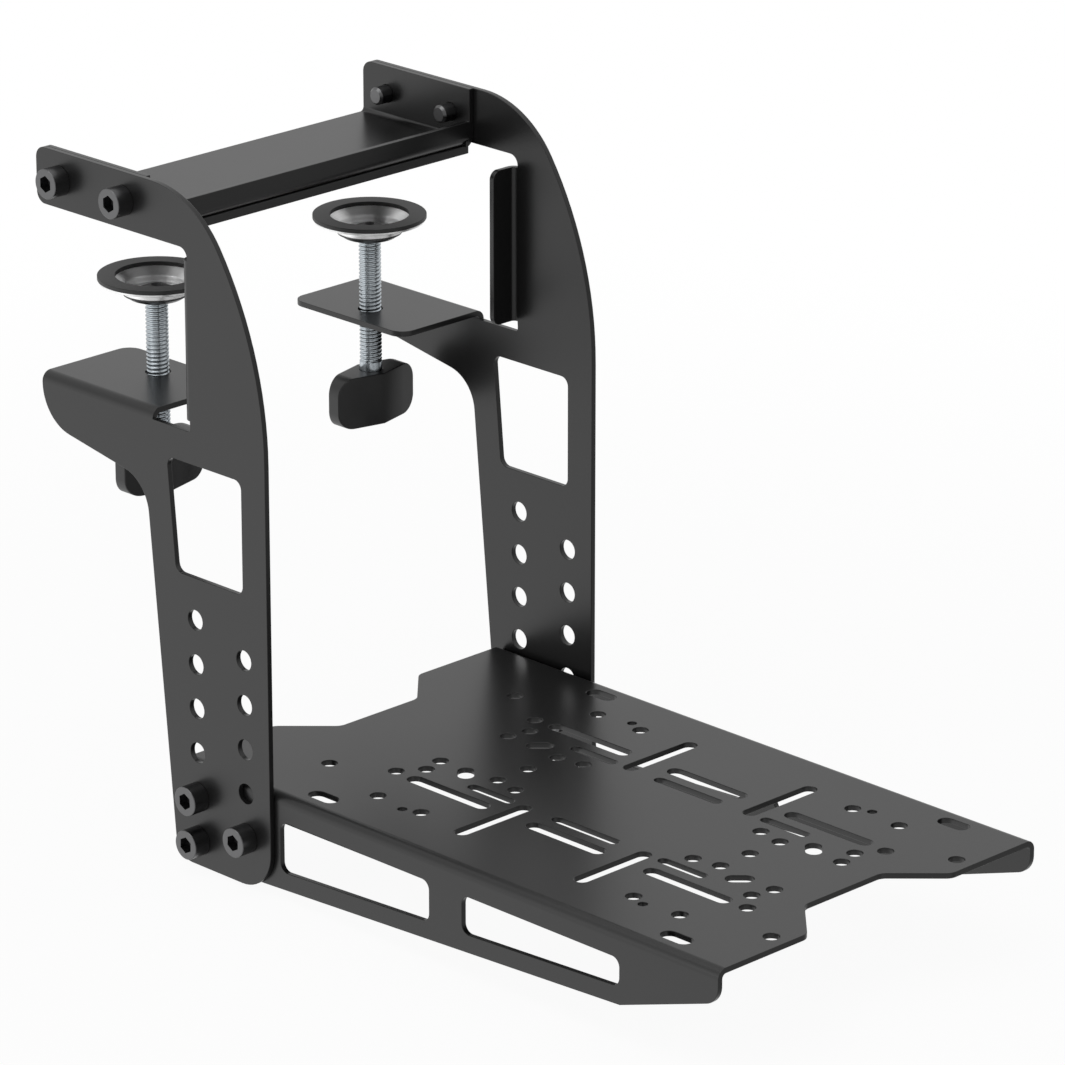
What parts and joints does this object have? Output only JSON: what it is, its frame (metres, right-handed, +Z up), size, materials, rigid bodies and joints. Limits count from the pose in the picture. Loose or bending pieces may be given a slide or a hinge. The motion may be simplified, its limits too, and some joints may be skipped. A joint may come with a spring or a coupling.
{
  "type": "steering wheel desk mount",
  "caption": "Desk-clamped steel mount for a steering wheel base: bent side plates, a padded crossbar, a perforated deck hung below and screw clamps.",
  "frame": {"origin": "middle of the underside of the crossbar's rubber strip, where it rests on the desk top", "axes": "+X across the mount, +Y in under the desk away from the driver, +Z up"},
  "size_m": [0.2094, 0.3967, 0.2994],
  "materials": {
    "powder_coat": "fine-grained matte black powder coat on sheet steel",
    "black_rubber": "dull black rubber",
    "black_bolt_steel": "black-oxide steel socket head bolts",
    "polished_zinc": "bright zinc-plated spun steel",
    "plated_screw_steel": "zinc-plated threaded steel",
    "black_plastic": "satin black moulded plastic"
  },
  "bodies": {
    "frame": {"left_side_plate": "powder_coat", "right_side_plate": "powder_coat", "crossbar": "powder_coat", "wheel_deck": "powder_coat", "rubber_strip": "black_rubber", "left_bar_bolt_rear": "black_bolt_steel", "left_bar_bolt_front": "black_bolt_steel", "left_deck_bolt_upper": "black_bolt_steel", "left_deck_bolt_lower": "black_bolt_steel", "left_deck_bolt_front": "black_bolt_steel", "right_bar_bolt_rear": "black_bolt_steel", "right_bar_bolt_front": "black_bolt_steel", "right_deck_bolt_upper": "black_bolt_steel", "right_deck_bolt_lower": "black_bolt_steel", "right_deck_bolt_front": "black_bolt_steel"},
    "left_clamp_pad": {"left_cup_ring": "black_rubber", "left_clamp_cup": "polished_zinc"},
    "left_clamp_spindle": {"left_clamp_screw": "plated_screw_steel", "left_clamp_knob": "black_plastic"},
    "right_clamp_pad": {"right_cup_ring": "black_rubber", "right_clamp_cup": "polished_zinc"},
    "right_clamp_spindle": {"right_clamp_screw": "plated_screw_steel", "right_clamp_knob": "black_plastic"}
  },
  "joints": [
    {"name": "left_clamp_travel", "type": "slide", "parent": "frame", "child": "left_clamp_pad", "axis": [0, 0, 1], "range_m": [-0.028, 0.02]},
    {"name": "left_clamp_turn", "type": "hinge", "parent": "left_clamp_pad", "child": "left_clamp_spindle", "pos_m": [-0.062, 0, -0.05], "axis": [0, 0, 1], "range_deg": [-5765, 4120]},
    {"name": "right_clamp_travel", "type": "slide", "parent": "frame", "child": "right_clamp_pad", "axis": [0, 0, 1], "range_m": [-0.028, 0.02]},
    {"name": "right_clamp_turn", "type": "hinge", "parent": "right_clamp_pad", "child": "right_clamp_spindle", "pos_m": [0.062, 0, -0.05], "axis": [0, 0, 1], "range_deg": [-5765, 4120]}
  ],
  "couplings": [
    {"joint": "left_clamp_turn", "follows": "left_clamp_travel", "rad_per_m": 3590.4},
    {"joint": "right_clamp_turn", "follows": "right_clamp_travel", "rad_per_m": 3590.4}
  ]
}
